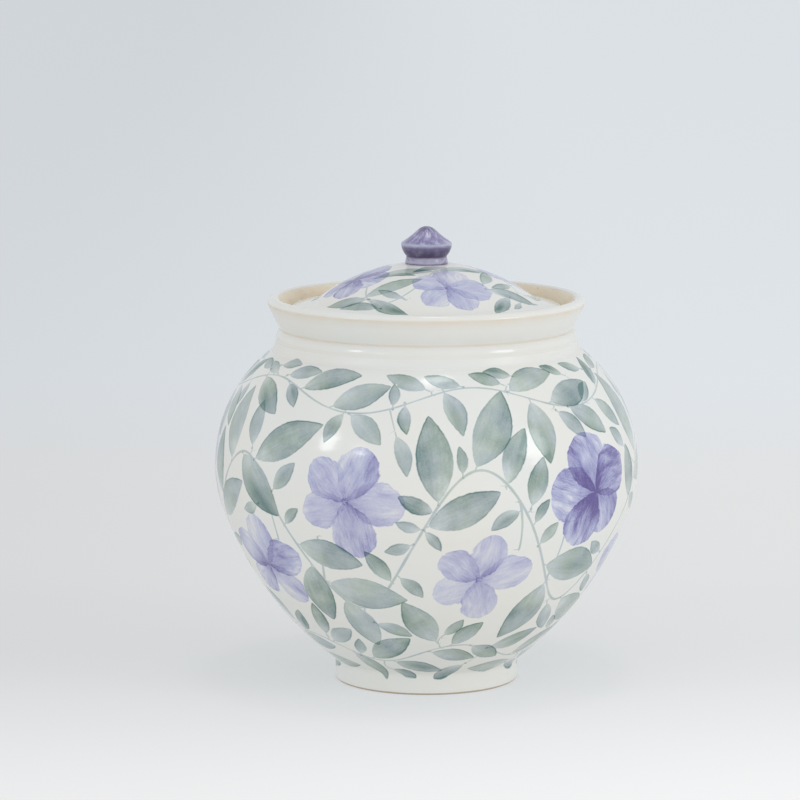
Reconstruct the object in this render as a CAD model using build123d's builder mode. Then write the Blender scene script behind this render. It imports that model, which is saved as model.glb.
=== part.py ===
from build123d import *
import os

# A wheel-thrown lidded jar. Every outline is a section to one side of the upright axis,
# as (distance from the axis, height above the table), in millimetres.

# Foot: a trimmed ring that the jar stands on
foot_radius = 45.8
foot_height = 10.4
foot_ring_width = 6.5
foot_recess = 5.0
foot_bevel = 0.8
foot_blend = 3.0

# Belly: a short round swell at the widest ring, a long flank below it and a shoulder above it
belly_radius = 106.0
belly_height = 109.0
swell_inset = 4.0
swell_drop = 22.3
shoulder_rise = 58.4
belly_wall = 5.5
floor_thickness = 7.0
floor_blend = 12.0

# Neck: a short steep band where the shoulder ends, a rolled bead that narrows above it, and the crease
# under the collar
neck_radius = 72.9
neck_wall = 5.2
band_rise = 4.1
band_batter = 1.2
bead_height = 5.8
bead_taper = 2.2
bead_proud = 0.8
neck_blend = 4.0

# Collar: flares from the crease to an arris, and rolls over into the lip
collar_height = 15.9
collar_flare = 6.4
collar_swell = 0.4
lip_width = 5.5
lip_rise = 2.8
lip_inner_drop = 0.7
lip_crest_share = 0.55

# Gallery: the seat sunk inside the collar, with a ledge that the lid rests on
gallery_depth = 9.6
gallery_taper = 4.6
ledge_width = 7.2
ledge_thickness = 3.4
ledge_corbel = 5.6
ledge_blend = 1.4
gallery_blend = 0.8

# Lid: a flat flange that drops into the gallery, and a low dome, hollow underneath
lid_clearance = 1.7
flange_width = 12.7
flange_thickness = 4.6
flange_rise = 3.2
flange_round = 1.5
dome_rise = 18.8
dome_wall = 5.2
dome_blend = 1.2
hollow_round = 1.2
seat_depth = 0.66

# Knob: luted on the flat seat on top of the dome
knob_foot_radius = 10.8
knob_waist_radius = 10.0
knob_brim_radius = 12.7
knob_tip_radius = 4.6
knob_foot_height = 3.7
knob_drum_height = 6.6
knob_cone_height = 6.3
knob_tip_height = 1.95
knob_drum_swell = 0.7
knob_cone_sink = 0.25
knob_brim_round = 0.5

# Heights that stack up from the table
shoulder_height = belly_height + shoulder_rise
bead_base = shoulder_height + band_rise
crease_height = bead_base + bead_height
rim_height = crease_height + collar_height
ledge_height = rim_height - gallery_depth
flange_height = ledge_height + flange_thickness
dome_base = flange_height + flange_rise
crown_height = dome_base + dome_rise
seat_height = crown_height - seat_depth

# Radii that follow from the neck outwards and inwards
bead_radius = neck_radius + bead_taper
shoulder_radius = bead_radius + band_batter
rim_radius = neck_radius + collar_flare
lip_inner_radius = rim_radius - lip_width
gallery_radius = lip_inner_radius - gallery_taper
throat_radius = gallery_radius - ledge_width
bore_radius = neck_radius - neck_wall
lid_radius = gallery_radius - lid_clearance
dome_radius = lid_radius - flange_width
recess_radius = foot_radius - foot_ring_width
floor_height = foot_recess + floor_thickness


def bulged(start, end, proud):
    """Arc from start to end that stands proud of its chord, on the chord's right."""
    chord = Vector(*end) - Vector(*start)
    square = Vector(chord.Y, -chord.X).normalized()
    middle = (Vector(*start) + Vector(*end)) / 2
    return ThreePointArc(start, middle + square * proud, end)


def inset(curve, distance):
    """Point beside the end of an arc, at a distance towards the arc's own centre."""
    inwards = (curve.arc_center - curve @ 1).normalized()
    return (curve @ 1) + inwards * distance


def ring(part, radius, height):
    """The part's circular edge that lies nearest to a radius and a height."""
    rings = part.edges().filter_by(GeomType.CIRCLE)
    return rings.sort_by(lambda edge: abs(edge.radius - radius) + abs(edge.arc_center.Z - height))[0]


# Jar: the thrown outside form, then the inside, the gallery and the foot are cut from it
with BuildPart() as jar:
    with BuildSketch(Plane.XZ):
        with BuildLine():
            swell = TangentArc(
                (belly_radius, belly_height),
                (belly_radius - swell_inset, belly_height - swell_drop),
                tangent=(0, -1),
            )
            flank = TangentArc(swell @ 1, (foot_radius, foot_height), tangent=swell % 1)
            shoulder = TangentArc(
                (belly_radius, belly_height),
                (shoulder_radius, shoulder_height),
                tangent=(0, 1),
            )
            Line(shoulder @ 1, (bead_radius, bead_base))
            bulged((bead_radius, bead_base), (neck_radius, crease_height), bead_proud)
            arris = (rim_radius, rim_height - lip_rise)
            bulged((neck_radius, crease_height), arris, collar_swell)
            crest = (rim_radius - lip_width * lip_crest_share, rim_height)
            lip = ThreePointArc(arris, crest, (lip_inner_radius, rim_height - lip_inner_drop))
            Polyline(lip @ 1, (0, rim_height - lip_inner_drop), (0, 0), (foot_radius, 0), flank @ 1)
        make_face()
    revolve(axis=Axis.Z)
    fillet(ring(jar, foot_radius, foot_height), foot_blend)
    fillet(ring(jar, shoulder_radius, shoulder_height), neck_blend)

    # Inside: the belly at an even wall, a dished floor, and the neck's bore corbelled in to the throat
    with BuildSketch(Plane.XZ):
        with BuildLine():
            inner_swell = TangentArc(
                (belly_radius - belly_wall, belly_height),
                inset(swell, belly_wall),
                tangent=(0, -1),
            )
            inner_flank = TangentArc(inner_swell @ 1, inset(flank, belly_wall), tangent=inner_swell % 1)
            inner_shoulder = TangentArc(
                (belly_radius - belly_wall, belly_height),
                inset(shoulder, belly_wall),
                tangent=(0, 1),
            )
            Polyline(
                inner_shoulder @ 1,
                (bore_radius, shoulder_height),
                (bore_radius, ledge_height - ledge_thickness - ledge_corbel),
                (throat_radius, ledge_height - ledge_thickness),
                (throat_radius, rim_height),
                (0, rim_height),
                (0, floor_height),
                inner_flank @ 1,
            )
        make_face()
    revolve(axis=Axis.Z, mode=Mode.SUBTRACT)
    floor_corner = inner_flank @ 1
    fillet(ring(jar, floor_corner.X, floor_corner.Y), floor_blend)
    fillet(ring(jar, bore_radius, shoulder_height), neck_blend)
    fillet(ring(jar, throat_radius, ledge_height - ledge_thickness), ledge_blend)

    # Gallery
    with BuildSketch(Plane.XZ):
        Polygon(
            (0, ledge_height),
            (gallery_radius, ledge_height),
            (lip_inner_radius, rim_height - lip_inner_drop),
            (0, rim_height - lip_inner_drop),
            align=None,
        )
    revolve(axis=Axis.Z, mode=Mode.SUBTRACT)
    fillet(ring(jar, throat_radius, ledge_height), ledge_blend)
    fillet(ring(jar, gallery_radius, ledge_height), gallery_blend)

    # Foot ring
    with BuildSketch(Plane.XY):
        Circle(recess_radius)
    extrude(amount=foot_recess, mode=Mode.SUBTRACT)
    fillet(ring(jar, recess_radius, foot_recess), foot_blend)
    chamfer([ring(jar, foot_radius, 0), ring(jar, recess_radius, 0)], foot_bevel)

# Lid: rests on the ledge by the flat underside of its flange
with BuildPart() as lid:
    with BuildSketch(Plane.XZ):
        with BuildLine():
            dome = TangentArc((0, crown_height), (dome_radius, dome_base), tangent=(1, 0))
            Polyline(
                dome @ 1,
                (lid_radius, flange_height),
                (lid_radius, ledge_height),
                (0, ledge_height),
                dome @ 0,
            )
        make_face()
    revolve(axis=Axis.Z)
    fillet(ring(lid, dome_radius, dome_base), dome_blend)
    fillet(ring(lid, lid_radius, flange_height), flange_round)
    with Locations((0, 0, crown_height - dome.radius)):
        Sphere(dome.radius - dome_wall, mode=Mode.SUBTRACT)
    fillet(lid.faces().sort_by(Axis.Z)[0].edges(), hollow_round)
    split(bisect_by=Plane.XY.offset(seat_height), keep=Keep.BOTTOM)

# Knob: a flared foot, a waist, a drum under the brim and a cone with a rounded tip
waist_height = seat_height + knob_foot_height
brim_height = waist_height + knob_drum_height
tip_base = brim_height + knob_cone_height
knob_top = tip_base + knob_tip_height
with BuildPart() as knob:
    with BuildSketch(Plane.XZ):
        with BuildLine():
            tip = TangentArc((0, knob_top), (knob_tip_radius, tip_base), tangent=(1, 0))
            cone = bulged((knob_brim_radius, brim_height), tip @ 1, -knob_cone_sink)
            bulged((knob_waist_radius, waist_height), cone @ 0, knob_drum_swell)
            Polyline(
                (knob_waist_radius, waist_height),
                (knob_foot_radius, seat_height),
                (0, seat_height),
                tip @ 0,
            )
        make_face()
    revolve(axis=Axis.Z)
    fillet(ring(knob, knob_brim_radius, brim_height), knob_brim_round)

jar.part.label = "jar"
lid.part.label = "lid"
knob.part.label = "knob"

os.makedirs("parts", exist_ok=True)
export_step(jar.part, "parts/jar.step")
export_step(lid.part, "parts/lid.step")
export_step(knob.part, "parts/knob.step")
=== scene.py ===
import math
import random
from functools import partialmethod

import bpy
import numpy as np
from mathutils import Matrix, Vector
from mathutils.kdtree import KDTree
from numpy.linalg import norm


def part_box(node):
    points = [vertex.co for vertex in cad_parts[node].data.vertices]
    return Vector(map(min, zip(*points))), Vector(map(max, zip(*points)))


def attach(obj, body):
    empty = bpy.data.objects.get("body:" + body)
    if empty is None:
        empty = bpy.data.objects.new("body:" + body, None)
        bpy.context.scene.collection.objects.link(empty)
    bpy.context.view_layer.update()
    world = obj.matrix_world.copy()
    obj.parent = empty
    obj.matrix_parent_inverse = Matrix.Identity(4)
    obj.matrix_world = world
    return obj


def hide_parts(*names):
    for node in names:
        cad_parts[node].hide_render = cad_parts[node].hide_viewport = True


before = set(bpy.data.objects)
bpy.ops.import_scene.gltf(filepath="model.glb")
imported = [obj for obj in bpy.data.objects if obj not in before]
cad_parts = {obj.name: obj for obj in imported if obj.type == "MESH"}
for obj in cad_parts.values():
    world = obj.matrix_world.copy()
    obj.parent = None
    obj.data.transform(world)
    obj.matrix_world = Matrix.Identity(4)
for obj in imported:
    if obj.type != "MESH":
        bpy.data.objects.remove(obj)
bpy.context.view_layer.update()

# Camera, from where the photograph was taken
PICTURE_PIXELS = 800
FOCAL_PIXELS = 4100
SENSOR_WIDTH = 36.0
CAMERA_DISTANCE = 2.05
CAMERA_ELEVATION = math.radians(8.55)
AIM_HEIGHT = 0.1407
AIM_OFFSET = -0.0132
CAMERA_REACH = 100.0

# Softboxes: azimuth to the camera's right and elevation from the belly in degrees, width and height in
# degrees of view from there, and radiance
SOFTBOX_DISTANCE = 3.0
LAMP_COLOUR = (0.95, 0.98, 1.0)
SOFTBOXES = {
    "left_softbox": (-58.0, 27.2, 9.0, 12.0, 7.0),
    "right_softbox": (61.8, 21.8, 18.0, 20.0, 4.4),
    "small_softbox": (-38.1, 22.8, 4.5, 5.0, 9.0),
    "top_softbox": (40.0, 84.5, 12.0, 9.0, 7.0),
}

# Light of the room, from the horizon to overhead, and what the camera and reflections see of it
ROOM_LOW = (1.45, 1.465, 1.51)
ROOM_HIGH = (0.69, 0.70, 0.72)
ROOM_LEFT_SHARE = 0.84
BACKDROP = (0.735, 0.77, 0.795)

# Floor: radius, its colours from in front of the jar to far behind it, the shade to its left, and the share
# of its own light that keeps the shadow as weak as on a bright studio table. That light is cool and what
# the paper reflects is warm, so the shadow turns a little cool.
FLOOR_RADIUS = 14.0
FLOOR_SIDES = 96
FLOOR_NEAR = (0.95, 0.945, 0.94)
FLOOR_MIDDLE = (0.79, 0.795, 0.79)
FLOOR_FAR = (0.785, 0.815, 0.84)
FLOOR_LEFT_SHARE = 0.89
FLOOR_GLOW = 0.55
GLOW_TINT = (0.93, 1.00, 1.07)
MATT_TINT = (1.085, 1.00, 0.915)

# Fineness of the turned meshes, in metres and radians
COLUMNS = 400
INNER_COLUMNS = 100
OUTLINE_STEP = 0.0001
WALL_STEP = 0.0014
PLAIN_STEP = 0.0040
FINEST_STEP = 0.0003
RING_TURN = 0.14
CORNER_TURN = math.radians(20)
TOUCH = 0.000002

# How far glaze softens an arris
GLAZE_MELT = 0.00025

# Hand-thrown belly: how far it stays inside the true round, over what length that sets in, and its swings
THROWN_INSET = 0.00008
THROWN_EASE = 0.02
OVAL_SWING = 0.00012
OVAL_TURN = 0.7
RIDGE_SWING = 0.00005
RIDGE_PITCH = 0.0068

# Throwing rings left on the inside of the jar and under the lid
INSIDE_PITCH = 0.0085
INSIDE_SWING = 0.00032

# Places on the outlines, read from the frame
RIM_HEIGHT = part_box("jar")[1].z
BELLY_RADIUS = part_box("jar")[1].x
LEDGE_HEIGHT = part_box("lid")[0].z
LID_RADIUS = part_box("lid")[1].x
SEAT_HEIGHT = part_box("knob")[0].z
KNOB_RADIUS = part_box("knob")[1].x

# Jar: lengths along its outline from the foot's edge to the uneven and to the painted wall, from there to
# the groove under the neck, and from the lip to the coarser inside
WALL_FROM_FOOT = 0.0075
PAINT_FROM_FOOT = 0.0058
PAINT_TO_GROOVE = 0.006
INSIDE_FROM_LIP = 0.012
FINE_BELOW_PAINT = 0.002

# Tan lines at groove, crease, arris and lip: thin glaze where it breaks over the arris and the lip's edge,
# and painted shade in the groove, in the crease and just below the arris; how far below the corner, spread,
# strength
CORNER_REACH = 0.001
BREAK_AND_SHADE_LINES = ((-0.0010, 0.0008, 0.55), (0.0, 0.00045, 1.15), (0.0007, 0.0009, 1.6), (0.0, 0.0010, 1.25))

# Dull glaze below the groove, and the ends of the bare clay in the foot's recess and down the gallery
DULL_FROM, DULL_TO, DULL_SOFT = 0.0055, 0.0002, 0.0016
RECESS_BARE = 0.0015
GALLERY_GLAZED = 0.005

# Lid: how far in from its edge and above the ledge its hollow's edge, its flange's low and top corner and
# its dome's base lie
LID_PLACES = ((0.0112, 0.0), (0.0, 0.0004), (0.0011, 0.0046), (0.0128, 0.0079))
SEAT_EDGE_SHARE = 0.85
LID_PAINT_MARGIN = 0.001
FLANGE_BARE_RISE = 0.0030
FLANGE_BREAK_SPREAD, FLANGE_BREAK = 0.0007, 0.8

# Where the throwing rings set in, behind the edges of the bore and of the lid's hollow
RINGS_AFTER = 0.004
JAR_RINGS_SOFT, LID_RINGS_SOFT = 0.008, 0.004

# Pale line along the knob's brim
BRIM_SPREAD = 0.0005


def new_object(name, data):
    thing = bpy.data.objects.new(name, data)
    bpy.context.scene.collection.objects.link(thing)
    return thing


def sums(steps):
    """Sum of the steps so far at each end of them, from 0."""
    return np.concatenate([[0], np.cumsum(steps)])


def chain_of(node):
    """Points of a turned node's half section in the plane y = 0, in order, as rows of radius and height."""
    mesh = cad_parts[node].data
    places, keys, number = [], {}, {}
    for v in mesh.vertices:
        if abs(v.co.y) < TOUCH and v.co.x > -TOUCH:
            key = (round(v.co.x / TOUCH), round(v.co.z / TOUCH))
            if key not in keys:
                keys[key] = len(places)
                places.append((max(v.co.x, 0.0), v.co.z))
            number[v.index] = keys[key]
    beside = {i: set() for i in range(len(places))}
    for edge in mesh.edges:
        a, b = (number.get(i) for i in edge.vertices)
        if a is not None and b is not None and a != b:
            beside[a].add(b)
            beside[b].add(a)
    ends = [i for i in beside if len(beside[i]) == 1]
    path = [min(ends, key=lambda i: places[i][1])]
    left = set(beside) - set(path)
    while left:
        near = beside[path[-1]] & left or left
        here = places[path[-1]]
        path.append(min(near, key=lambda i: math.dist(places[i], here)))
        left.discard(path[-1])
    chain = [places[i] for i in path]
    if chain[0][0] > TOUCH:
        chain.insert(0, (0.0, chain[0][1]))
    if chain[-1][0] > TOUCH:
        chain.append((0.0, chain[-1][1]))
    return np.array(chain)


def with_arcs(points):
    """The chain at an even fine step with its arcs filled in, and the places and turns of its corners."""
    way = np.diff(points, axis=0)
    lengths = np.hypot(*way.T)
    heading = np.arctan2(way[:, 1], way[:, 0])
    turns = np.full(len(points), math.pi)
    turns[1:-1] = (np.diff(heading) + math.pi) % math.tau - math.pi
    fine, corners, travelled = [points[0]], [], 0.0
    for i, length in enumerate(lengths):
        start = end = None
        if abs(turns[i]) < CORNER_TURN:
            start = -turns[i] * length / (length + lengths[i - 1])
        if abs(turns[i + 1]) < CORNER_TURN:
            end = turns[i + 1] * length / (length + lengths[i + 1])
        if start is None:
            start = 0.0 if end is None else -end
        if end is None:
            end = -start
        steps = max(1, round(length / OUTLINE_STEP))
        t = np.arange(1, steps + 1)[:, None] / steps
        out = length * np.array([math.cos(heading[i] + start), math.sin(heading[i] + start)])
        into = length * np.array([math.cos(heading[i] + end), math.sin(heading[i] + end)])
        ease = t * t * (3 - 2 * t)
        straight = points[i] * (1 - ease) + points[i + 1] * ease
        fine.extend(straight + out * t * (1 - t) ** 2 - into * t * t * (1 - t))
        travelled += length
        if i + 2 < len(points) and abs(turns[i + 1]) > CORNER_TURN:
            corners.append((travelled, turns[i + 1]))
    return np.array(fine), corners


def melted(points):
    """The outline with its arrises softened, as glaze softens them."""
    reach = round(3 * GLAZE_MELT / OUTLINE_STEP)
    weights = np.exp(-0.5 * (np.arange(-reach, reach + 1) * OUTLINE_STEP / GLAZE_MELT) ** 2)
    weights /= weights.sum()
    ahead = points[1 : reach + 1][::-1] * (-1, 1)
    behind = points[-reach - 1 : -1][::-1] * (-1, 1)
    longer = np.concatenate([ahead, points, behind])
    soft = np.stack([np.convolve(column, weights, "valid") for column in longer.T], 1)
    soft[0], soft[-1] = points[0], points[-1]
    return soft


class Outline:
    """A turned node's half section at an even fine step, measured along its length from its lowest end."""

    def __init__(self, node):
        fine, self.corners = with_arcs(chain_of(node))
        self.points = melted(fine)
        self.run = sums(np.hypot(*np.diff(self.points, axis=0).T))
        way = np.gradient(self.points, axis=0)
        self.heading = np.unwrap(np.arctan2(way[:, 1], way[:, 0]))
        self.bend = np.abs(np.gradient(self.heading)) / np.maximum(np.gradient(self.run), TOUCH)

    def at(self, run):
        """Radius and height at a length along the outline."""
        return np.stack([np.interp(run, self.run, column) for column in self.points.T], -1)

    def run_at(self, radius, height):
        """Length along the outline to its point nearest to a radius and a height."""
        return self.run[np.argmin(np.hypot(*(self.points - (radius, height)).T))]

    def stops(self, fine_from, fine_to):
        """Lengths along the outline for a mesh's rings, close where it is painted or turns sharply."""
        step = np.where((self.run > fine_from) & (self.run < fine_to), WALL_STEP, PLAIN_STEP)
        step = np.maximum(np.minimum(step, RING_TURN / np.maximum(self.bend, 1)), FINEST_STEP)
        count = sums(np.diff(self.run) / step[1:])
        return np.interp(np.linspace(0, count[-1], math.ceil(count[-1]) + 1), count, self.run)

    def thinness(self, run, first, last, spread):
        """Strength of a line along each corner between two lengths, from 0 to 1, standing for thin glaze on
        an edge and for painted shade in a crease.
        """
        value = np.zeros(len(run))
        for place, turn in self.corners:
            if first <= place <= last:
                near = np.exp(-(((run - place) / spread) ** 2))
                value = np.maximum(value, min(1.0, abs(turn)) * near)
        return value


class Turned:
    """A mesh turned from an outline, with the length along the outline of every point."""

    def __init__(self, name, outline, stops, narrow_after):
        radii, heights = outline.at(stops).T
        points, runs, first, columns = [], [], {}, {}
        for i, (radius, height) in enumerate(zip(radii, heights)):
            n = 1 if radius < TOUCH else INNER_COLUMNS if stops[i] > narrow_after else COLUMNS
            first[i], columns[i] = len(points), n
            for j in range(n):
                angle = math.pi / 2 + math.tau * j / n
                points.append((radius * math.cos(angle), radius * math.sin(angle), height))
                runs.append(stops[i])
        faces, maps = [], []
        last = len(stops) - 1
        for i in range(last):
            low, high = columns[i], columns[i + 1]
            n = min(low, high) if min(low, high) > 1 else max(low, high)
            for j in range(n):
                below, above = self.span(j, n, low), self.span(j, n, high)
                ring = [(i, k) for k in below] + [(i + 1, k) for k in above[::-1]]
                faces.append([first[a] + k % columns[a] for a, k in ring])
                maps.append([
                    ((j + 0.5) / n if columns[a] == 1 else k / columns[a], a / last) for a, k in ring
                ])
        self.mesh = bpy.data.meshes.new(name)
        self.mesh.from_pydata(points, [], faces)
        self.mesh.polygons.foreach_set("use_smooth", [True] * len(faces))
        unwrapped = self.mesh.uv_layers.new(name="OFBake")
        unwrapped.data.foreach_set("uv", [c for face in maps for corner in face for c in corner])
        self.piece = new_object(name, self.mesh)
        self.points, self.runs = np.array(points), np.array(runs)
        counts = np.array([len(face) for face in faces])
        starts = np.cumsum(counts) - counts
        self.face_of = np.repeat(np.arange(len(faces)), counts)
        self.corner = np.array([p for face in faces for p in face])
        self.centres = np.add.reduceat(self.points[self.corner], starts, axis=0) / counts[:, None]
        self.centre_runs = np.add.reduceat(self.runs[self.corner], starts) / counts

    @staticmethod
    def span(j, n, columns):
        """Columns that side j of n takes on a ring that has its own number of columns."""
        if columns == 1:
            return [0]
        group = columns // n
        return list(range(j * group, (j + 1) * group + 1))

    def point_values(self, **named):
        for name, values in named.items():
            layer = self.mesh.attributes.new(name, "FLOAT", "POINT")
            layer.data.foreach_set("value", np.asarray(values, np.float32))

    def corner_vectors(self, name, *columns):
        layer = self.mesh.attributes.new(name, "FLOAT_VECTOR", "CORNER")
        layer.data.foreach_set("vector", np.stack(columns, 1).astype(np.float32).ravel())


class Wall:
    """The painted stretch of an outline, with places on it given as an angle and a height up the wall."""

    MARGIN = 0.006

    def __init__(self, outline, start, end):
        self.outline, self.start, self.height = outline, start, end - start

    def holds(self, runs):
        """Whether lengths along the outline lie on the painted side, not on the inside behind it."""
        return abs(runs - self.start - self.height / 2) < self.height / 2 + self.MARGIN

    def radius(self, up):
        return float(self.outline.at(self.start + up)[0])

    def at(self, angle, up):
        radius, height = self.outline.at(self.start + up)
        return np.array([radius * math.cos(angle), radius * math.sin(angle), height])

    def axes(self, angle, up):
        """Directions along the ring and up the wall."""
        heading = np.interp(self.start + up, self.outline.run, self.outline.heading)
        ring = np.array([-math.sin(angle), math.cos(angle), 0.0])
        outward = math.cos(heading)
        rise = np.array([outward * math.cos(angle), outward * math.sin(angle), math.sin(heading)])
        return ring, rise

    def move(self, angle, up, aim, distance):
        """Place reached from another by going a distance in a direction."""
        further = up + distance * math.sin(aim)
        return angle + distance * math.cos(aim) / self.radius(up + 0.5 * distance * math.sin(aim)), further


# Who painted a disc of the wall: leaves and blossoms keep clear of all but the stem that they grow from
LEAF, BLOSSOM, VINE, NECK_VINE, FOOT_VINE, SHOOT = range(6)
MOST_DISCS = 30000

# Faces nearer to a line than this take its paint, and the least half width that a leaf counts for
LINE_REACH = 0.003
THINNEST_HALF = 0.0004


class Design:
    """A painted design of scrolling stems with leaves on both sides of them and five-petalled blossoms."""

    GAP = 0.0008
    OVERLAP = -0.0030
    OVERLAP_SHARE = 0.3
    LINE_ROOM = 0.0004
    TIP_ROOM = 0.0003
    LEAF_ROOM_SHARE = 0.2
    BLOSSOM_ROOM_SHARE = 0.95
    STALK = 0.0022
    LEAF_WIDTHS = (0.39, 0.50)
    LEAF_TONES = (0.3, 1.1)
    SEEDS = (0, 40)
    SHOOT_THICK = (0.00036, 0.00024)
    SHOOT_STEP = 0.0009
    SHORTEST_SHOOT = 0.0015
    EDGE_ROOM = 0.004
    SEARCH_STEP = 0.003
    LENGTHS = (1.0, 0.9, 0.8, 0.7, 0.6)
    LEANS = (0.0, 0.16, -0.16, 0.32)
    SPRIG_SHARES = (2.6, 2.2, 1.8, 1.45)
    SPRIG_LEANS = (0.0, 0.3, -0.3, 0.6, -0.6, 0.9, -0.9)

    def __init__(self, wall, seed, slim=1.0):
        self.wall, self.chance, self.slim = wall, random.Random(seed), slim
        self.leaves, self.blossoms, self.stems, self.shoots, self.lines = [], [], [], [], []
        self.taken, self.owners, self.count = np.zeros((MOST_DISCS, 4)), np.zeros(MOST_DISCS, int), 0

    def claim(self, point, radius, owner):
        """Marks a disc of the wall as painted by an owner, who is known by a number."""
        self.taken[self.count, :3], self.taken[self.count, 3] = point, radius
        self.owners[self.count] = owner
        self.count += 1

    def room(self, discs, owner):
        """Least gap between some discs and all that others have painted."""
        others = self.taken[: self.count][self.owners[: self.count] != owner]
        return min(
            np.min(norm(others[:, :3] - point, axis=1) - others[:, 3]) - radius
            for point, radius in discs
        )

    def blossom(self, angle, up, size, turn, tone):
        place, seed = self.wall.at(angle, up), self.chance.uniform(*self.SEEDS)
        self.blossoms.append((place, *self.wall.axes(angle, up), size, turn, seed, tone))
        self.claim(place, self.BLOSSOM_ROOM_SHARE * size, BLOSSOM)

    def stem(self, path, thick, kind, owner):
        """A painted line through places on the wall."""
        points = [self.wall.at(*place) for place in path]
        along = sums(norm(np.diff(points, axis=0), axis=1))
        for i, place in enumerate(path):
            a, b = points[max(i - 1, 0)], points[min(i + 1, len(path) - 1)]
            ring, rise = self.wall.axes(*place)
            ahead = (b - a) / norm(b - a)
            width = thick[0] + (thick[1] - thick[0]) * along[i] / along[-1]
            aside = np.cross(np.cross(ring, rise), ahead)
            kind.append((points[i], ahead, aside, along[i], width, along[-1]))
            self.lines.append(place)
            self.claim(points[i], self.LINE_ROOM, owner)

    def leaf(self, angle, up, aim, length, owner, lengths=LENGTHS):
        """A leaf from a place on a stem, as long as the room lets it be. Some lie over their neighbours."""
        gap = self.OVERLAP if self.chance.random() < self.OVERLAP_SHARE else self.GAP
        for share in lengths:
            for lean in self.LEANS:
                size = length * share
                start = self.wall.move(angle, up, aim + lean, self.STALK)
                discs = []
                for t in (0.25, 0.5, 0.75, 1.0):
                    place = self.wall.move(*start, aim + lean, size * t)
                    if not 0.0 < place[1] < self.wall.height:
                        break
                    radius = self.TIP_ROOM if t == 1 else self.LEAF_ROOM_SHARE * self.slim * size
                    discs.append((self.wall.at(*place), radius))
                if len(discs) == 4 and self.room(discs, owner) > gap:
                    self.lay_leaf(start, aim + lean, size, discs)
                    return True
        return False

    def lay_leaf(self, start, aim, size, discs):
        (ring, rise), c, s = self.wall.axes(*start), math.cos(aim), math.sin(aim)
        along, across = c * ring + s * rise, c * rise - s * ring
        width = size * self.slim * self.chance.uniform(*self.LEAF_WIDTHS)
        seed, tone = self.chance.uniform(*self.SEEDS), self.chance.uniform(*self.LEAF_TONES)
        self.leaves.append((self.wall.at(*start), along, across, size, width, seed, tone))
        for point, radius in discs:
            self.claim(point, radius, LEAF)

    def leaves_along(self, path, owner, spacing, length, spread):
        """Leaves in turn to the left and the right of a stem."""
        travelled, side = spacing / 2, 1
        for a, b in zip(path, path[1:]):
            step = norm(self.wall.at(*b) - self.wall.at(*a))
            travelled += step
            if travelled > spacing:
                heading = math.atan2(b[1] - a[1], (b[0] - a[0]) * self.wall.radius(a[1]))
                aim = heading + side * self.chance.gauss(spread, 0.08)
                self.leaf(*a, aim, length * self.chance.uniform(0.85, 1.1), owner)
                travelled, side = 0.0, -side

    def way_to_stem(self, angle, up):
        """How far the nearest point of a stem lies round the ring and up the wall from a place."""
        width = self.wall.radius(up)
        ways = [(((a - angle + math.pi) % math.tau - math.pi) * width, u - up) for a, u in self.lines]
        return min(ways, key=lambda way: math.hypot(*way))

    def sprig(self, angle, up, free, longest):
        """A leaf over a bare place, on a fine shoot from the nearest stem."""
        across, rise = self.way_to_stem(angle, up)
        aim = math.atan2(-rise, -across) + self.chance.uniform(-0.4, 0.4)
        for share in self.SPRIG_SHARES:
            length = min(share * free / self.slim, longest)
            for lean in self.SPRIG_LEANS:
                base = self.wall.move(angle, up, aim + lean + math.pi, 0.5 * length)
                if self.leaf(*base, aim + lean, length, SHOOT, lengths=(1.0,)):
                    across, rise = self.way_to_stem(*base)
                    start = (base[0] + across / self.wall.radius(base[1]), base[1] + rise)
                    self.shoot(start, base, aim + lean)
                    return True
        return False

    def shoot(self, start, end, aim):
        """A fine curved line from a stem to the foot of a leaf, arriving in the leaf's direction."""
        width = self.wall.radius(end[1])
        far = math.hypot((end[0] - start[0]) * width, end[1] - start[1])
        if far < self.SHORTEST_SHOOT:
            return
        bend = (end[0] - 0.5 * far * math.cos(aim) / width, end[1] - 0.5 * far * math.sin(aim))
        steps = max(3, round(far / self.SHOOT_STEP))
        path = [
            tuple(s * (1 - t) ** 2 + 2 * b * t * (1 - t) + e * t * t for s, b, e in zip(start, bend, end))
            for t in (i / steps for i in range(steps + 1))
        ]
        self.stem(path, self.SHOOT_THICK, self.shoots, SHOOT)

    def fill(self, least, longest):
        """Leaves in the places still bare, widest first, until none is wider than the least."""
        rows = int(self.wall.height / self.SEARCH_STEP)
        columns = int(math.tau * BELLY_RADIUS / self.SEARCH_STEP)
        places = [
            (math.tau * i / columns, self.wall.height * (j + 0.5) / rows)
            for i in range(columns) for j in range(rows)
        ]
        points = np.array([self.wall.at(*place) for place in places])
        up = np.array([place[1] for place in places])
        room = np.minimum(up, self.wall.height - up) + self.EDGE_ROOM
        used = 0
        while True:
            for disc in self.taken[used : self.count]:
                room = np.minimum(room, norm(points - disc[:3], axis=1) - disc[3])
            used = self.count
            best = int(np.argmax(room))
            if room[best] < least:
                return
            if not self.sprig(*places[best], room[best], longest):
                room[best] = 0.0


WAVE_SAMPLES = 900
CURVE_STEPS = 40


def wave(turns, middle, swing, phase, uneven=0.0):
    """Places along a wavy line right round the wall."""
    path = []
    for i in range(WAVE_SAMPLES + 1):
        angle = math.tau * i / WAVE_SAMPLES
        drift = uneven * math.sin(2 * angle + 1.3) + 0.5 * uneven * math.sin(3 * angle)
        path.append((angle, middle + swing * math.cos(turns * angle + phase) + drift))
    return path


def curve(wall, start, aim, length, bow):
    """Places along a line that sets off in a direction and bends steadily."""
    path = [start]
    for i in range(CURVE_STEPS):
        path.append(wall.move(*path[-1], aim + bow * i / CURVE_STEPS, length / CURVE_STEPS))
    return path


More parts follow.
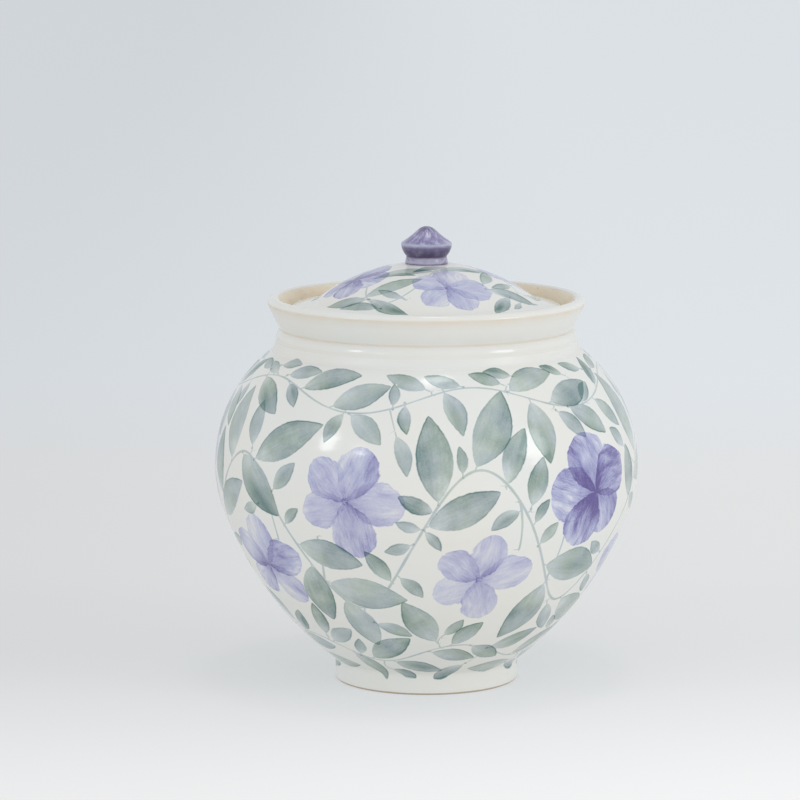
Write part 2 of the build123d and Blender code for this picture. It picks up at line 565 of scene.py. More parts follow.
# Jar's stems round the belly, the neck and the foot: middle and swing as shares of the painted height,
# unevenness and thickness, and the spacing, length and spread of the leaves on them
STEMS = {
    VINE: (0.52, 0.205, 0.0022, 0.00062, 0.0115, 0.042, 0.85),
    NECK_VINE: (0.905, 0.040, 0.0008, 0.00042, 0.0110, 0.030, 0.8),
    FOOT_VINE: (0.130, 0.040, 0.0008, 0.00042, 0.0105, 0.027, 0.8),
}
SCROLL_TURNS = 5
SCROLL_PHASE = 0.35

# Blossoms in the scroll's low and high hollows: share of the height from its middle, and size
BLOSSOM_RISES = (-0.105, 0.112)
BLOSSOM_SIZES = (0.0296, 0.0312)
DEEP_TONE = 1.8

# Curled stalks off the scroll, which start a share of half a wave before each blossom
STALK_BACK_SHARE = 0.30
STALK_AIM, STALK_BOW = 1.35, 0.25
STALK_LENGTH = 0.026
STALK_THICK = (0.0007, 0.0004)

# Lid's blossoms and stem, as shares of the painted height and in metres, and the spacing, length and spread
# of its leaves
LID_TURNS = 4
LID_PHASE = 0.18
LID_BLOSSOM_RISES = (0.38, 0.46)
LID_BLOSSOM_SIZE = 0.0225
LID_STEM_MIDDLE, LID_STEM_SWING = 0.49, 0.36
LID_STEM_THICK = (0.00036, 0.00036)
LID_LEAVES = (0.0080, 0.030, 0.55)
LID_SLIM = 0.66

# Least half width of a bare place that takes a leaf, and the longest leaf there
JAR_FILL = (0.0047, 0.038)
LID_FILL = (0.0031, 0.030)

JAR_SEED, LID_SEED = 11, 5


def jar_design(wall):
    """Scroll round the belly with blossoms in its hollows, and small garlands above and below it."""
    design = Design(wall, JAR_SEED)
    chance, turns, tall = design.chance, SCROLL_TURNS, wall.height
    peak = -SCROLL_PHASE / turns
    hollows = [
        (k, high, peak + (k + 0.5 * high) * math.tau / turns) for k in range(turns) for high in (0, 1)
    ]
    for k, high, angle in hollows:
        up = STEMS[VINE][0] * tall + BLOSSOM_RISES[high] * tall
        size = BLOSSOM_SIZES[high] * chance.uniform(0.94, 1.05)
        deep = high and k % 3 == 1
        design.blossom(
            angle + chance.gauss(0, 0.012), up + chance.gauss(0, 0.0012), size,
            chance.uniform(0, math.tau), DEEP_TONE if deep else chance.uniform(0.3, 1.3),
        )
    lines = {}
    for owner, (middle, swing, uneven, thick, *_) in STEMS.items():
        lines[owner] = wave(turns, middle * tall, swing * tall, SCROLL_PHASE, uneven)
        design.stem(lines[owner], (thick, thick), design.stems, owner)
    for k, high, angle in hollows:
        side = 1 if high else -1
        base = angle - side * STALK_BACK_SHARE * math.pi / turns
        up = np.interp(base % math.tau, *zip(*lines[VINE]))
        stalk = curve(wall, (base, up), side * STALK_AIM, STALK_LENGTH, side * STALK_BOW)
        design.stem(stalk, STALK_THICK, design.shoots, VINE)
    for owner, (*_, spacing, length, spread) in STEMS.items():
        design.leaves_along(lines[owner], owner, spacing, length, spread)
    design.fill(*JAR_FILL)
    return design


def lid_design(wall):
    """Ring of small blossoms on the dome with a wavy stem between them."""
    design = Design(wall, LID_SEED, LID_SLIM)
    chance, turns = design.chance, LID_TURNS
    for k in range(turns):
        design.blossom(
            (k + LID_PHASE) * math.tau / turns, wall.height * chance.uniform(*LID_BLOSSOM_RISES),
            LID_BLOSSOM_SIZE * chance.uniform(0.92, 1.05),
            chance.uniform(0, math.tau), DEEP_TONE if k == 2 else chance.uniform(0.2, 1.2),
        )
    middle, swing = LID_STEM_MIDDLE * wall.height, LID_STEM_SWING * wall.height
    vine = wave(turns, middle, swing, -math.tau * LID_PHASE)
    design.stem(vine, LID_STEM_THICK, design.stems, VINE)
    design.leaves_along(vine, VINE, *LID_LEAVES)
    design.fill(*LID_FILL)
    return design


def owners_of(turned, paintable, centres, reach, depth_of, layers):
    """For each face and layer, the number of the motif that covers it most deeply, or -1."""
    owner = np.full((layers, len(turned.centres)), -1)
    depth = np.full((layers, len(turned.centres)), -np.inf)
    for m, (centre, size) in enumerate(zip(centres, reach)):
        near = np.nonzero(paintable & (norm(turned.centres - centre, axis=1) < size))[0]
        mine, who = depth_of(m, turned.centres[near]), np.full(len(near), m)
        for layer in range(layers):
            held, held_by = depth[layer, near], owner[layer, near]
            better = mine > held
            depth[layer, near] = np.where(better, mine, held)
            owner[layer, near] = np.where(better, who, held_by)
            mine, who = np.where(better, held, mine), np.where(better, held_by, who)
    return owner


def flat_places(points, place, along, across):
    """Places of points in a motif's own plane, with their true distance from its origin."""
    offset = points - place
    x, y = np.sum(offset * along, -1), np.sum(offset * across, -1)
    stretch = norm(offset, axis=-1) / np.maximum(np.hypot(x, y), TOUCH)
    return x * np.minimum(stretch, 1.2), y * np.minimum(stretch, 1.2)


def fields(motifs):
    """Each value that the motifs hold, as an array of its own."""
    return [np.array(column) for column in zip(*motifs)]


def leaf_depth(x, y, length, width):
    """How deep a place lies inside a leaf, or below 0 how far it lies outside."""
    t = np.clip(x / length, 0, 1)
    half = 0.5 * width * np.sin(np.pi * t**0.9) ** 0.8
    beyond = np.maximum(0, np.abs(x - length / 2) - 0.6 * length)
    return np.maximum(half, THINNEST_HALF) - np.hypot(y, beyond)


def blossom_depth(x, y, *_):
    return -np.hypot(x, y)


def paint_motifs(turned, names, motifs, paintable, middle, reach, depth_of):
    """Gives each face corner its place in the motifs that cover it most deeply, one for each name."""
    place, along, across, size, *look = fields(motifs)

    def depth(m, points):
        return depth_of(*flat_places(points, place[m], along[m], across[m]), size[m], look[0][m])

    middles = place + along * size[:, None] * middle
    owner = owners_of(turned, paintable, middles, reach * size, depth, len(names))
    for name, owned_by in zip(names, owner):
        who = owned_by[turned.face_of]
        x, y = flat_places(turned.points[turned.corner], place[who], along[who], across[who])
        x, y = np.where(who < 0, -1.0, x), np.where(who < 0, 0.0, y)
        turned.corner_vectors(name, x, y, size[who])
        turned.corner_vectors(name + "_look", *(value[who] for value in look))


def paint_lines(turned, name, samples, paintable, ends):
    """Gives each face corner its place beside and along the nearest line, which may have ends."""
    tree = KDTree(len(samples))
    for i, sample in enumerate(samples):
        tree.insert(sample[0], i)
    tree.balance()
    found = [tree.find(c) for c in turned.centres]
    close = paintable & (np.array([f[2] for f in found]) < LINE_REACH)
    who = np.array([f[1] for f in found])[turned.face_of]
    point, ahead, aside, travelled, thick, total = fields(samples)
    offset = turned.points[turned.corner] - point[who]
    x = travelled[who] + np.sum(offset * ahead[who], 1)
    y = np.sum(offset * aside[who], 1)
    if ends:
        past = np.maximum(-x, x - total[who])
        y = np.where(past > 0, np.hypot(y, past), y)
    on = close[turned.face_of]
    turned.corner_vectors(name, np.where(on, y, 1.0), np.where(on, x, 0.0), np.where(on, thick[who], 0.0))


def paint(turned, design):
    """Gives each face corner its place in the motifs that cover it."""
    paintable = design.wall.holds(turned.centre_runs)
    paint_motifs(turned, ("leaf_a", "leaf_b"), design.leaves, paintable, 0.5, 0.75, leaf_depth)
    paint_motifs(turned, ("bloom",), design.blossoms, paintable, 0, 1.25, blossom_depth)
    paint_lines(turned, "stem", design.stems, paintable, ends=False)
    paint_lines(turned, "shoot", design.shoots, paintable, ends=True)


class Field:
    """A number that a material works out at every point, with ordinary arithmetic."""

    def __init__(self, graph, socket):
        self.graph, self.socket = graph, socket

    def math(self, operation, *values):
        return self.graph.math(operation, self, *values)

    __add__ = __radd__ = partialmethod(math, "ADD")
    __mul__ = __rmul__ = partialmethod(math, "MULTIPLY")
    __sub__ = partialmethod(math, "SUBTRACT")
    __truediv__ = partialmethod(math, "DIVIDE")
    __pow__ = partialmethod(math, "POWER")
    __abs__ = partialmethod(math, "ABSOLUTE")
    at_least = partialmethod(math, "MAXIMUM")
    at_most = partialmethod(math, "MINIMUM")
    sine = partialmethod(math, "SINE")

    def __rsub__(self, other):
        return self.graph.math("SUBTRACT", other, self)

    def smooth(self, low, high):
        """0 at one value and 1 at another, with a soft step between. The first may be the larger."""
        ends = {"Value": self, "From Min": low, "From Max": high}
        return self.graph.add("ShaderNodeMapRange", ends, interpolation_type="SMOOTHSTEP")


class Graph:
    """A material's or a world's nodes."""

    def __init__(self, owner):
        owner.use_nodes = True
        self.owner, self.tree = owner, owner.node_tree
        self.tree.nodes.clear()

    def surface(self, shader, output="ShaderNodeOutputMaterial"):
        """Joins the last shader to the output, and gives what the nodes belong to."""
        self.node(output, {"Surface": shader.outputs[0]})
        return self.owner

    def mixed(self, share, a, b):
        return self.node("ShaderNodeMixShader", {0: share, 1: a.outputs[0], 2: b.outputs[0]})

    def glazed(self, colour, roughness, normal):
        inputs = {"Base Color": colour, "Roughness": roughness, "Normal": normal, "IOR": GLAZE_IOR}
        return self.surface(self.node("ShaderNodeBsdfPrincipled", inputs))

    def put(self, socket, value):
        value = getattr(value, "socket", value)
        if isinstance(value, bpy.types.NodeSocket):
            self.tree.links.new(value, socket)
        else:
            socket.default_value = value

    def node(self, kind, inputs, **settings):
        node = self.tree.nodes.new(kind)
        for key, value in settings.items():
            setattr(node, key, value)
        for key, value in inputs.items():
            self.put(node.inputs[key], value)
        return node

    def add(self, kind, inputs, output=0, **settings):
        return Field(self, self.node(kind, inputs, **settings).outputs[output])

    def math(self, operation, *values):
        return self.add("ShaderNodeMath", dict(enumerate(values)), operation=operation)

    def distance(self, x, y):
        return self.math("SQRT", x * x + y * y)

    def parts(self, vector):
        node = self.node("ShaderNodeSeparateXYZ", {0: vector})
        return [Field(self, node.outputs[i]) for i in range(3)]

    def vector(self, x, y, z):
        return self.add("ShaderNodeCombineXYZ", {0: x, 1: y, 2: z})

    def attribute(self, name, output="Fac"):
        return self.add("ShaderNodeAttribute", {}, output, attribute_name=name)

    def three(self, name):
        return self.parts(self.attribute(name, "Vector"))

    def position(self):
        return self.add("ShaderNodeTexCoord", {}, "Object")

    def ray(self, kind):
        return self.add("ShaderNodeLightPath", {}, kind)

    def noise(self, where, scale, detail=2.0, rough=0.5):
        inputs = {"Vector": where, "Scale": scale, "Detail": detail, "Roughness": rough}
        return self.add("ShaderNodeTexNoise", inputs)

    def mix(self, share, a, b, blend="MIX"):
        node = self.node("ShaderNodeMix", {}, data_type="RGBA", blend_type=blend)
        self.put(node.inputs[0], share)
        self.put(node.inputs[6], a if hasattr(a, "socket") else (*a, 1.0))
        self.put(node.inputs[7], b if hasattr(b, "socket") else (*b, 1.0))
        return Field(self, node.outputs[2])

    def tinted(self, a, b):
        return self.mix(1.0, a, b, "MULTIPLY")

    def ramp(self, value, stops):
        node = self.node("ShaderNodeValToRGB", {0: value})
        ramp = node.color_ramp
        while len(ramp.elements) < len(stops):
            ramp.elements.new(0.5)
        for element, (place, colour) in zip(ramp.elements, stops):
            element.position = place
            element.color = (*colour, 1.0)
        return Field(self, node.outputs[0])

    def bump(self, height, distance, normal=None):
        inputs = {"Height": height, "Distance": distance, "Strength": 1.0}
        if normal is not None:
            inputs["Normal"] = normal
        return self.add("ShaderNodeBump", inputs)


# Pigments and glazes, as linear colours: what a wash leaves of the light at rising strength
WHITE = (1.0, 1.0, 1.0)
CREAM = (0.730, 0.735, 0.700)
CREAM_WARM = (0.735, 0.722, 0.670)
BLUE_SAGE_WASH = [
    (0.00, WHITE),
    (0.25, (0.72, 0.79, 0.85)),
    (0.50, (0.52, 0.60, 0.65)),
    (0.75, (0.35, 0.44, 0.47)),
    (1.00, (0.14, 0.26, 0.26)),
]
GREEN_SAGE_WASH = [
    (0.00, WHITE),
    (0.25, (0.72, 0.79, 0.78)),
    (0.50, (0.52, 0.61, 0.58)),
    (0.75, (0.35, 0.45, 0.41)),
    (1.00, (0.13, 0.26, 0.23)),
]
LILAC_WASH = [
    (0.00, WHITE),
    (0.30, (0.69, 0.71, 0.93)),
    (0.50, (0.52, 0.53, 0.81)),
    (0.70, (0.35, 0.345, 0.65)),
    (0.85, (0.23, 0.205, 0.49)),
    (1.00, (0.15, 0.115, 0.37)),
]
# Tan of thin glaze on edges, which also paints the shade in the jar's crease and groove and under its arris
GLAZE_BREAK_AND_CREASE_SHADE = (0.66, 0.58, 0.46)
GLAZE_IOR = 1.5
BARE_CLAY = (0.78, 0.70, 0.545)
CLAY_WARM = (0.76, 0.65, 0.49)
CLAY_GRIT = (0.83, 0.74, 0.60)
CLAY_SPECK = (0.42, 0.31, 0.20)
FOOT_EDGE_DARK = (0.34, 0.27, 0.19)

# Heights between which the bare clay darkens towards the foot's bottom edge, and the strength of that
# darkening
FOOT_LINE_TOP, FOOT_LINE_LOW, FOOT_LINE = 0.0022, 0.0004, 0.75

PETALS = 5


def leaf_wash(g, name):
    """Strength of one layer of leaves: pale at the stalk, stronger to the tip and pooled along its edge."""
    x, y, length = g.three(name)
    width, seed, tone = g.three(name + "_look")
    t = (x / length).at_least(0.001).at_most(0.999)
    y = y - (seed * 2.7).sine() * 0.22 * length * t * (1 - t)
    roundness = (seed * 5.1).sine() * 0.06 + 0.82
    half = width * 0.5 * ((t ** 0.92 * math.pi).sine() ** roundness)
    brush = g.vector(x + seed * 0.01, y, seed)
    wobble = (g.noise(brush, 420) - 0.5) * 0.0008
    inside = half - abs(y) + wobble
    cover = inside.smooth(-0.00036, 0.00034) * x.smooth(-0.0002, 0.0006)
    cover = cover * (length - x).smooth(-0.0002, 0.0004)
    hand = (seed * 9.3).sine().smooth(-0.3, 0.3).math("MULTIPLY_ADD", 2, -1)
    side = (y / (half + 0.0004)) * hand
    cloud = g.noise(brush, 110, 3)
    grain = g.noise(brush, 1300, 2, 0.7)
    streak = g.noise(g.vector(x * 70, y * 650, seed), 1, 2)
    wash = 0.30 + t.smooth(0, 0.55) * 0.24 + side.smooth(-0.2, 1) * 0.17
    wash = wash + (cloud - 0.5) * 0.62 + (streak - 0.5) * 0.20 + (grain - 0.5) * 0.30
    pooled = t.smooth(0.25, 0.85) * 0.15 + side.smooth(0.2, 0.9) * 0.13 + 0.03
    pool = inside.smooth(0.0010, 0.0002) * pooled
    drop_along = (t - 0.62 + (seed * 3.3).sine() * 0.25) * length * 0.26
    drop_across = y - width * 0.14 * (seed * 8.1).sine()
    drop = g.distance(drop_along, drop_across) / width
    drop = (drop + (cloud - 0.5) * 0.3).smooth(0.36, 0)
    drop = drop * (seed * 6.7).sine().smooth(0.55, 0.95) * 0.30
    strength = cover * (wash + pool + drop) * (0.68 + tone * 0.46)
    stalk = abs(y).smooth(0.00055, 0.0002) * x.smooth(-0.0027, -0.0020) * x.smooth(0.0025, 0) * 0.34
    joint = g.distance(x + 0.0018, y).smooth(0.0010, 0.0004)
    joint = joint * (seed * 4.9).sine().smooth(0.1, 0.6) * 0.55
    return strength.at_least(stalk.at_least(joint))


def petal_wash(g, radius, angle, number, size, seed, tone):
    """Strength of one petal's broad brush strokes, at a place given from the blossom's middle."""
    own = number * 2.4 + seed
    angle = angle + (own * 2.9).sine() * 0.15
    u = radius * angle.math("COSINE")
    v = radius * angle.sine()
    reach = size * (0.91 + (own * 3).sine() * 0.09)
    s = (u / reach).at_least(0.001).at_most(0.999)
    half = reach * (0.42 + (own * 5.3).sine() * 0.055) * (((s ** 1.3) * math.pi).sine() ** 0.55)
    brush = g.vector(u, v, own * 1.7)
    wander = g.noise(brush, 115, 3, 0.6) - 0.5
    inside = half - abs(v) + wander * 0.0058
    end = reach - u + wander * 0.0050
    cover = inside.smooth(-0.0004, 0.0005) * end.smooth(-0.0003, 0.0006)
    drift = g.noise(brush, 55, 2) - 0.5
    bend = v + u * u * 8 * (own * 1.3).sine() + drift * 0.009
    stroke = g.noise(g.vector(u * 75, bend * 260, own), 1, 2)
    bristle = g.noise(g.vector(u * 150, bend * 950, own), 1, 3, 0.65)
    grain = g.noise(brush, 1400, 2, 0.7)
    cloud = g.noise(brush, 48, 3)
    side = (v / (half + 0.001)) * (own * 7.1).sine()
    base = (s + (stroke - 0.5) * 0.9).smooth(0.50, 0.04)
    wash = 0.37 + (cloud - 0.5) * 0.80 + (stroke - 0.5) * 0.62 + (bristle - 0.5) * 0.50 + base * 0.20
    wash = wash + side * 0.12 + inside.smooth(0.0014, 0.0003) * 0.07 + (grain - 0.5) * 0.28
    own_tone = 0.70 + tone * 0.40 + (own * 4.3).sine() * 0.12
    return cover * wash.at_least(0.08) * own_tone


def blossom_wash(g):
    """Strength of the petals, each over its neighbours, and of the ring of dots at the eye."""
    x, y, size = g.three("bloom")
    turn, seed, tone = g.three("bloom_look")
    radius = g.distance(x, y)
    fifth = math.tau / PETALS
    angle = g.math("ARCTAN2", y, x) - turn + 8 * math.pi
    number = (angle / fifth + 0.5).math("FLOOR")
    own = angle - number * fifth
    side = own.math("SIGN")
    beside = number + side + PETALS
    first = petal_wash(g, radius, own, number.math("MODULO", PETALS), size, seed, tone)
    other = petal_wash(g, radius, own - side * fifth, beside.math("MODULO", PETALS), size, seed, tone)
    eye = radius.smooth(0.0034, 0.0016) * 0.85 * g.noise(g.vector(x, y, seed), 650).smooth(0.3, 0.6)
    both = first.at_least(other) + first.at_most(other) * 0.20
    return both.at_least(eye)


def stem_wash(g, name):
    """Strength of thin brushed lines, fading and swelling along their length."""
    across, along, thick = g.three(name)
    flow = g.noise(g.vector(along, 0, 1), 60, 2)
    half = thick * (0.45 + flow * 1.1)
    edge = abs(across) + (g.noise(g.vector(along, across, 2), 900) - 0.5) * 0.0003
    return edge.smooth(half + 0.00030, half - 0.00030) * (0.12 + flow * 0.50)


def painted_glaze():
    """Cream glaze over the painted design, thinner on sharp edges, with painted shade along the crease, the
    groove and under the lip's arris, and bare clay where it was wiped off.
    """
    g = Graph(bpy.data.materials.new("painted_cream_glaze"))
    where = g.position()
    leaf_a = leaf_wash(g, "leaf_a")
    leaf_b = leaf_wash(g, "leaf_b")
    petals = blossom_wash(g)
    stems = stem_wash(g, "stem").at_least(stem_wash(g, "shoot")) * petals.smooth(0.10, 0.02)
    sage = (leaf_a.at_least(leaf_b) + leaf_a.at_most(leaf_b) * 0.6).at_least(stems)
    cloud = g.noise(where, 16, 3)
    cream = g.mix(cloud.smooth(0.35, 0.7), CREAM, CREAM_WARM)
    hue = g.noise(where, 62, 2).smooth(0.36, 0.64)
    pigment = g.mix(hue, g.ramp(sage, GREEN_SAGE_WASH), g.ramp(sage, BLUE_SAGE_WASH))
    painted = g.tinted(cream, pigment)
    painted = g.tinted(painted, g.ramp(petals, LILAC_WASH))
    uneven = g.noise(where, 90, 3)
    # Lines along corners: thin glaze on the lip's edges and the lid's flange, and painted shade in the
    # crease, the groove and under the arris
    thin = g.attribute("thin") * (0.35 + uneven * 0.9)
    painted = g.mix(thin, painted, GLAZE_BREAK_AND_CREASE_SHADE)
    grit = g.noise(where, 1900, 3, 0.7)
    speck = g.noise(where, 800, 1)
    tint = g.mix(g.noise(where, 60, 3).smooth(0.3, 0.7), BARE_CLAY, CLAY_WARM)
    clay = g.mix(speck.smooth(0.66, 0.74) * 0.5, tint, CLAY_SPECK)
    clay = g.mix((grit - 0.35) * 0.5, clay, CLAY_GRIT)
    height = g.parts(where)[2]
    # Bare clay darker towards the bottom of the foot
    clay = g.mix(height.smooth(FOOT_LINE_TOP, FOOT_LINE_LOW) * FOOT_LINE, clay, FOOT_EDGE_DARK)
    edge = (g.noise(where, 260, 2) - 0.5) * 0.5
    bare = (g.attribute("bare") + edge).smooth(0.42, 0.58)
    colour = g.mix(bare, painted, clay)
    gloss = 0.11 + g.noise(where, 220, 2) * 0.05 + thin * 0.25 + g.attribute("dull") * 0.24
    roughness = gloss + bare * (0.78 - gloss)
    swell = g.bump(g.noise(where, 34, 1), 0.0006)
    thrown = (g.attribute("run") * (math.tau / INSIDE_PITCH) + cloud * 3).sine()
    swell = g.bump(thrown * g.attribute("inside"), INSIDE_SWING, swell)
    peel = g.bump(g.noise(where, 420, 2) * (1 - bare), 0.00002, swell)
    rough_clay = g.bump(grit * bare, 0.00012, peel)
    return g.glazed(colour, roughness, rough_clay)


# Knob: colours up its outline by the share of its height, its purple wash with a pale line at the brim
KNOB_COLOURS = [
    (0.00, (0.15, 0.13, 0.20)),
    (0.05, (0.40, 0.38, 0.49)),
    (0.15, (0.36, 0.34, 0.46)),
    (0.21, (0.065, 0.047, 0.105)),
    (0.34, (0.090, 0.070, 0.140)),
    (0.46, (0.165, 0.145, 0.250)),
    (0.545, (0.36, 0.37, 0.52)),
    (0.60, (0.25, 0.235, 0.38)),
    (0.78, (0.33, 0.31, 0.47)),
    (0.95, (0.15, 0.125, 0.215)),
]
KNOB_STROKE = (0.115, 0.090, 0.225)
# Pale of the cone's brushed streaks and patches, which also paints the sheen of the highlight down the cone
KNOB_PALE_AND_SHEEN = (0.54, 0.53, 0.68)
KNOB_BRIM_PALE = (0.50, 0.52, 0.63)
KNOB_RING_DEPTH = 0.00020


def knob_glaze():
    """Clear glaze over brushed purple: dark drum and tip, cone streaked pale, which also paints the sheen
    of its highlight, and a pale line along the brim.
    """
    g = Graph(bpy.data.materials.new("brushed_purple_glaze"))
    x, y, z = g.parts(g.position())
    lowest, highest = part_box("knob")
    around = g.math("ARCTAN2", y, x)
    cosine, sine = around.math("COSINE"), around.sine()
    patch = g.noise(g.position(), 170, 3, 0.6)
    rings = g.noise(g.vector(cosine * 1.6, sine * 1.6, z * 420), 1.6, 3, 0.6)
    drawn = g.vector(cosine * 2.6 + patch * 1.2, sine * 2.6 + patch, z * 170)
    streaks = g.noise(drawn, 1.6, 3, 0.6)
    height = (z - lowest.z) / (highest.z - lowest.z)
    cone = height.smooth(0.54, 0.60)
    tone = g.ramp(height + (patch - 0.5) * 0.06, KNOB_COLOURS)
    strokes = streaks.smooth(0.44, 0.64) * cone + rings.smooth(0.45, 0.70) * (1 - cone)
    tone = g.mix(strokes * 0.60, tone, KNOB_STROKE)
    # Pale streaks and patches: brushed, and also a painted highlight down the cone
    pale = (1 - streaks).smooth(0.52, 0.64) * cone * 0.55 + patch.smooth(0.50, 0.75) * 0.18
    tone = g.mix(pale, tone, KNOB_PALE_AND_SHEEN)
    # Pale line along the brim
    tone = g.mix(g.attribute("thin") * (0.25 + patch * 0.7), tone, KNOB_BRIM_PALE)
    return g.glazed(tone, 0.13 + patch * 0.12, g.bump(rings, KNOB_RING_DEPTH))


def soft_round(turned, first, last):
    """Moves a thrown wall a little inside its true round, by an oval and faint slanting ridges."""
    radius = np.hypot(turned.points[:, 0], turned.points[:, 1])
    angle = np.arctan2(turned.points[:, 1], turned.points[:, 0])
    share = np.clip((turned.runs - first) / THROWN_EASE, 0, 1)
    share = share * np.clip((last - turned.runs) / THROWN_EASE, 0, 1)
    oval = 1 + np.cos(2 * angle + OVAL_TURN)
    ridges = 1 + np.sin(math.tau * turned.runs / RIDGE_PITCH + angle)
    inset = share * (THROWN_INSET + 0.5 * OVAL_SWING * oval + 0.5 * RIDGE_SWING * ridges)
    scale = 1 - inset / np.maximum(radius, TOUCH)
    turned.points[:, :2] *= scale[:, None]
    turned.mesh.vertices.foreach_set("co", turned.points.astype(np.float32).ravel())
    turned.mesh.update()


def dress(turned, node, body, material):
    """Puts a piece in its node's place."""
    turned.mesh.materials.append(material)
    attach(turned.piece, body)
    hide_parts(node)


def band(run, first, last, soft=0.0004):
    """1 between two lengths along an outline and 0 outside them, with soft ends."""
    return np.clip((run - first) / soft + 0.5, 0, 1) * np.clip((last - run) / soft + 0.5, 0, 1)


def make_jar(glaze):
    """The jar: glazed inside and out, bare under the foot and in the gallery where the lid sits."""
    outline = Outline("jar")
    places = [place for place, _ in outline.corners]
    inner_foot, _, _, foot_edge, groove, crease, arris, lip_edge, bore_edge = places[:9]
    paint_start = foot_edge + PAINT_FROM_FOOT
    stops = outline.stops(paint_start - FINE_BELOW_PAINT, groove)
    jar = Turned("thrown_jar", outline, stops, lip_edge + INSIDE_FROM_LIP)
    soft_round(jar, foot_edge + WALL_FROM_FOOT, groove)
    wall = Wall(outline, paint_start, groove - PAINT_TO_GROOVE)
    paint(jar, jar_design(wall))
    run = jar.runs
    # Lines along the corners: thin glaze at the arris and the lip's edge, and painted shade in the groove,
    # in the crease and just below the arris
    thin = np.zeros(len(run))
    for place, (below, spread, strength) in zip((groove, crease, arris, lip_edge), BREAK_AND_SHADE_LINES):
        line = outline.thinness(run + below, place - CORNER_REACH, place + CORNER_REACH, spread)
        thin = np.maximum(thin, line * strength)
    bare = band(run, inner_foot - RECESS_BARE, foot_edge + OUTLINE_STEP)
    bare = np.maximum(bare, band(run, lip_edge + OUTLINE_STEP, bore_edge - GALLERY_GLAZED))
    dull = band(run, groove - DULL_FROM, groove - DULL_TO, DULL_SOFT)
    inside = band(run, bore_edge + RINGS_AFTER, math.inf, JAR_RINGS_SOFT)
    jar.point_values(thin=thin, dull=dull, run=run, inside=inside, bare=bare)
    dress(jar, "jar", "jar", glaze)


def make_lid(glaze):
    """The lid: glazed dome and flange, with bare clay on the seat and the side of the flange."""
    outline = Outline("lid")
    hollow_edge, flange_low, flange_top, dome_base = (
        outline.run_at(LID_RADIUS - inwards, LEDGE_HEIGHT + rise) for inwards, rise in LID_PLACES
    )
    seat_edge = outline.run_at(KNOB_RADIUS * SEAT_EDGE_SHARE, SEAT_HEIGHT)
    lid = Turned("domed_lid", outline, outline.stops(flange_top, seat_edge), math.inf)
    wall = Wall(outline, dome_base - LID_PAINT_MARGIN, seat_edge - LID_PAINT_MARGIN)
    paint(lid, lid_design(wall))
    run = lid.runs
    thin = outline.thinness(run, flange_low, flange_top, FLANGE_BREAK_SPREAD) * FLANGE_BREAK
    bare = band(run, hollow_edge, flange_low + FLANGE_BARE_RISE)
    inside = band(run, -math.inf, hollow_edge - RINGS_AFTER, LID_RINGS_SOFT)
    lid.point_values(thin=thin, bare=bare, run=run, inside=inside)
    dress(lid, "lid", "lid", glaze)


def make_knob(glaze):
    """The knob: luted on top of the lid."""
    outline = Outline("knob")
    knob = Turned("turned_knob", outline, outline.stops(0, math.inf), math.inf)
    brim = outline.run[np.argmax(outline.points[:, 0])]
    knob.point_values(thin=np.exp(-(((knob.runs - brim) / BRIM_SPREAD) ** 2)))
    dress(knob, "knob", "lid", glaze)


def facing(name, data, place, target):
    """A camera or lamp at a place, turned towards a target."""
    thing = new_object(name, data)
    thing.location = place
    thing.rotation_euler = (Vector(target) - Vector(place)).to_track_quat("-Z", "Y").to_euler()
    return thing


def make_camera():
    lens = bpy.data.cameras.new("camera")
    lens.sensor_width = SENSOR_WIDTH
    lens.lens = SENSOR_WIDTH * FOCAL_PIXELS / PICTURE_PIXELS
    lens.clip_end = CAMERA_REACH
    back, up = math.cos(CAMERA_ELEVATION), math.sin(CAMERA_ELEVATION)
    place = (AIM_OFFSET, -CAMERA_DISTANCE * back, AIM_HEIGHT + CAMERA_DISTANCE * up)
    bpy.context.scene.camera = facing("camera", lens, place, (AIM_OFFSET, 0, AIM_HEIGHT))


def make_softboxes():
    """Soft studio lamps round the jar. Power follows from the radiance and the size of each."""
    target = Vector((0, 0, RIM_HEIGHT / 2))
    for name, (azimuth, elevation, wide, high, radiance) in SOFTBOXES.items():
        a, e = math.radians(azimuth), math.radians(elevation)
        direction = Vector((math.sin(a) * math.cos(e), -math.cos(a) * math.cos(e), math.sin(e)))
        lamp = bpy.data.lights.new(name, "AREA")
        lamp.shape = "ELLIPSE"
        lamp.size = 2 * SOFTBOX_DISTANCE * math.tan(math.radians(wide / 2))
        lamp.size_y = 2 * SOFTBOX_DISTANCE * math.tan(math.radians(high / 2))
        lamp.color = LAMP_COLOUR
        lamp.energy = radiance * math.pi * math.pi / 4 * lamp.size * lamp.size_y
        facing(name, lamp, target + direction * SOFTBOX_DISTANCE, target).visible_camera = False


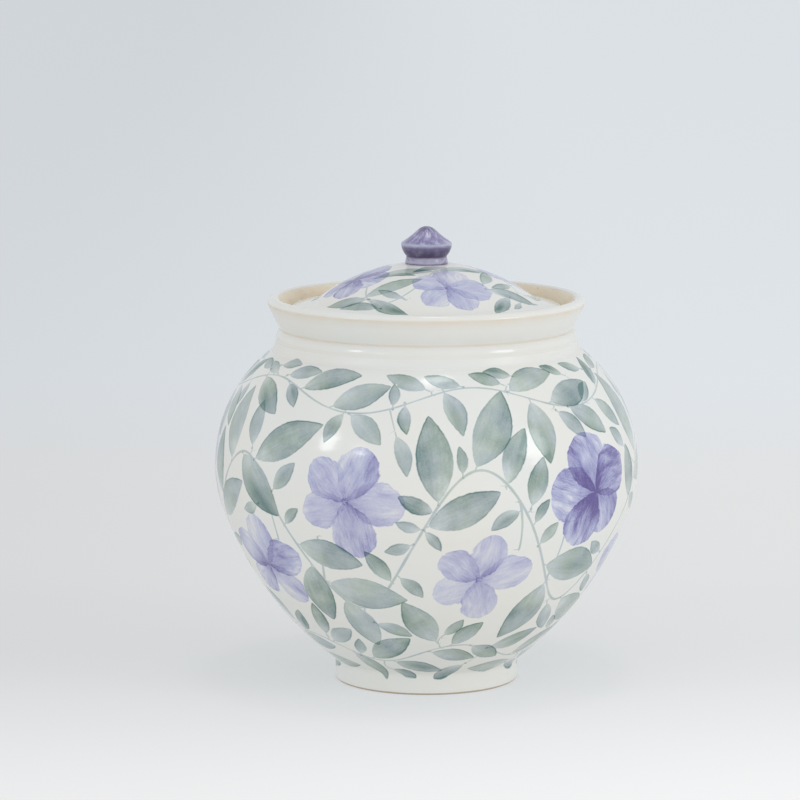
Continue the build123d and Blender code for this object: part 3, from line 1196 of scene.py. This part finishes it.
def make_world():
    """Pale surroundings, brightest low down and on the right, and an even backdrop behind them."""
    world = bpy.data.worlds.new("studio")
    bpy.context.scene.world = world
    g = Graph(world)
    x, _, z = g.parts(g.add("ShaderNodeTexCoord", {}, "Generated"))
    light = g.mix(z.smooth(0.0, 0.9), ROOM_LOW, ROOM_HIGH)
    sides = x.smooth(-1.0, 1.0) * (1 - ROOM_LEFT_SHARE) + ROOM_LEFT_SHARE
    room = g.node("ShaderNodeBackground", {"Color": light, "Strength": sides})
    backdrop = g.node("ShaderNodeBackground", {"Color": (*BACKDROP, 1.0), "Strength": 1.0})
    seen = g.ray("Is Camera Ray").at_least(g.ray("Is Glossy Ray"))
    g.surface(g.mixed(seen, room, backdrop), "ShaderNodeOutputWorld")


def floor_paper():
    """Pale paper, cooler further back and darker to the left, partly matt and partly glowing with its own
    light, which weakens the jar's shadow.
    """
    g = Graph(bpy.data.materials.new("pale_paper"))
    x, y, _ = g.parts(g.position())
    tone = g.mix(y.smooth(-0.30, 0.10), FLOOR_NEAR, FLOOR_MIDDLE)
    tone = g.mix(y.smooth(0.5, 1.1), tone, FLOOR_FAR)
    shade = x.smooth(-0.45, 0.25) * (1 - FLOOR_LEFT_SHARE) + FLOOR_LEFT_SHARE
    tone = g.tinted(tone, g.vector(shade, shade, shade))
    matt = g.node("ShaderNodeBsdfDiffuse", {"Color": g.tinted(tone, MATT_TINT)})
    glow = g.node("ShaderNodeEmission", {"Color": g.tinted(tone, GLOW_TINT)})
    return g.surface(g.mixed(FLOOR_GLOW, matt, glow))


def make_floor():
    mesh = bpy.data.meshes.new("floor")
    turns = [math.tau * i / FLOOR_SIDES for i in range(FLOOR_SIDES)]
    ring = [(FLOOR_RADIUS * math.cos(t), FLOOR_RADIUS * math.sin(t), 0.0) for t in turns]
    mesh.from_pydata(ring, [], [range(FLOOR_SIDES)])
    mesh.materials.append(floor_paper())
    floor = new_object("floor", mesh)


bpy.context.scene.view_settings.view_transform = "Standard"
make_camera()
make_softboxes()
make_world()
make_floor()
cream = painted_glaze()
make_jar(cream)
make_lid(cream)
make_knob(knob_glaze())
